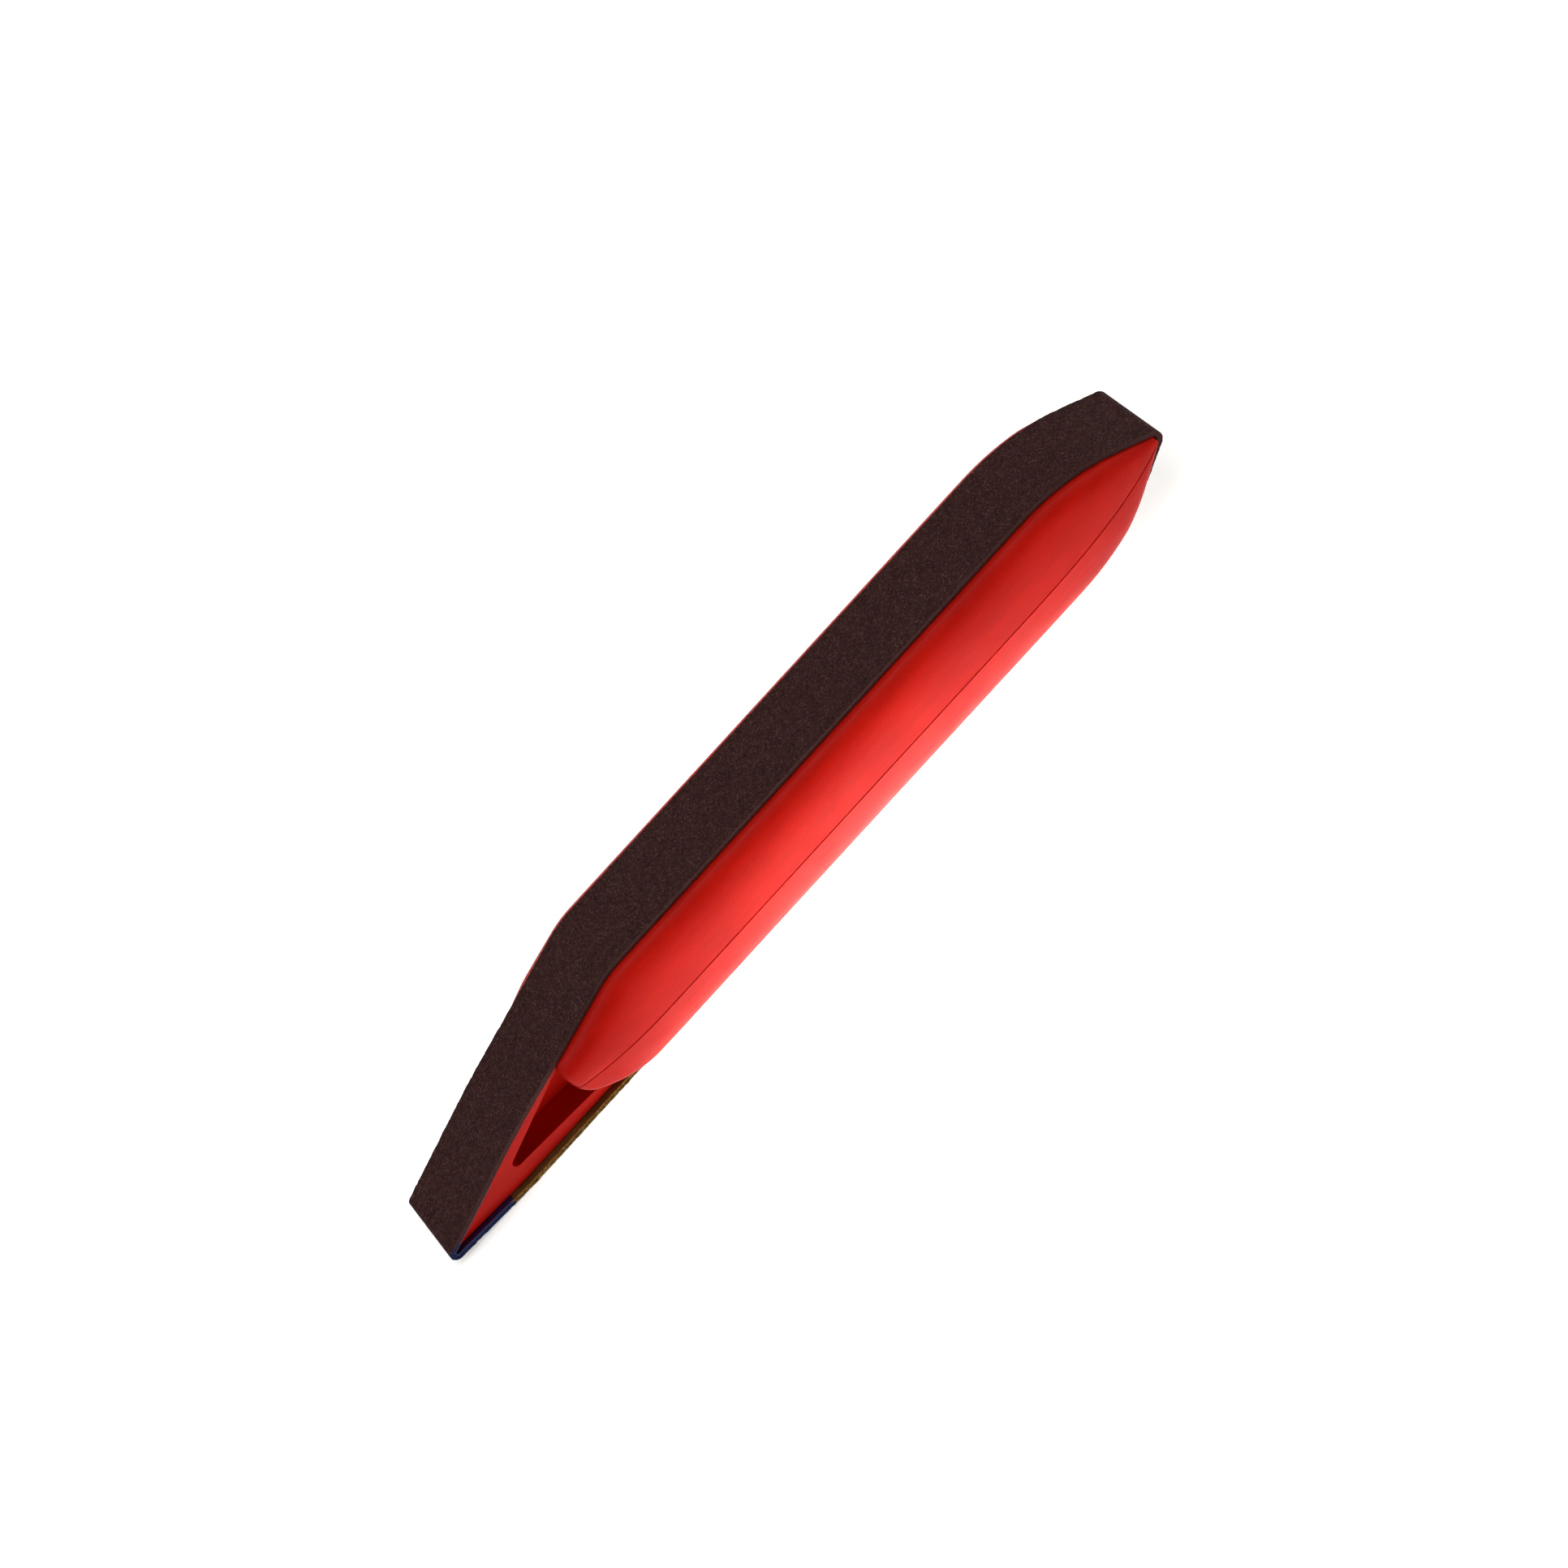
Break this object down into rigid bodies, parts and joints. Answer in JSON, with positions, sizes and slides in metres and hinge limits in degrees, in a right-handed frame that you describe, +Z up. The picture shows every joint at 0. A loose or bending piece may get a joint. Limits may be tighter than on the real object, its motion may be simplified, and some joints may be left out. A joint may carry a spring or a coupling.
{
  "type": "sanding stick",
  "caption": "Slim two-shell handle that holds a narrow abrasive belt tight round a spring-loaded sliding tip and a pointed end.",
  "frame": {"origin": "middle of the footprint, on the plane that the belt's lower run lies on", "axes": "+X along the stick from the sliding tip to the fixed pointed end, +Z up, out of the belt's upper run"},
  "size_m": [0.148, 0.0218, 0.0186],
  "materials": {
    "handle_plastic": "moulded, semi-gloss",
    "tip_plastic": "moulded, semi-gloss",
    "spring_steel": "drawn wire",
    "belt_cloth": "resin-filled cotton cloth",
    "abrasive_grit": "fine aluminium oxide grain",
    "splice_film": "smooth film"
  },
  "bodies": {
    "holder": {"upper_shell": "handle_plastic", "lower_shell": "handle_plastic", "tension_spring": "spring_steel"},
    "tip": {"tip_slider": "tip_plastic"},
    "belt": {"belt_backing": "belt_cloth", "belt_grit_coat": "abrasive_grit", "belt_splice_tape": "splice_film"}
  },
  "joints": [
    {"name": "tip_press", "type": "slide", "parent": "holder", "child": "tip", "axis": [1, 0, 0], "range_m": [0, 0.0065], "stiffness_N_per_m": 800, "springref_m": -0.01, "deforming": ["tension_spring"]},
    {"name": "belt_removal", "type": "slide", "parent": "holder", "child": "belt", "axis": [0, 1, 0], "range_m": [0, 0.03]}
  ]
}
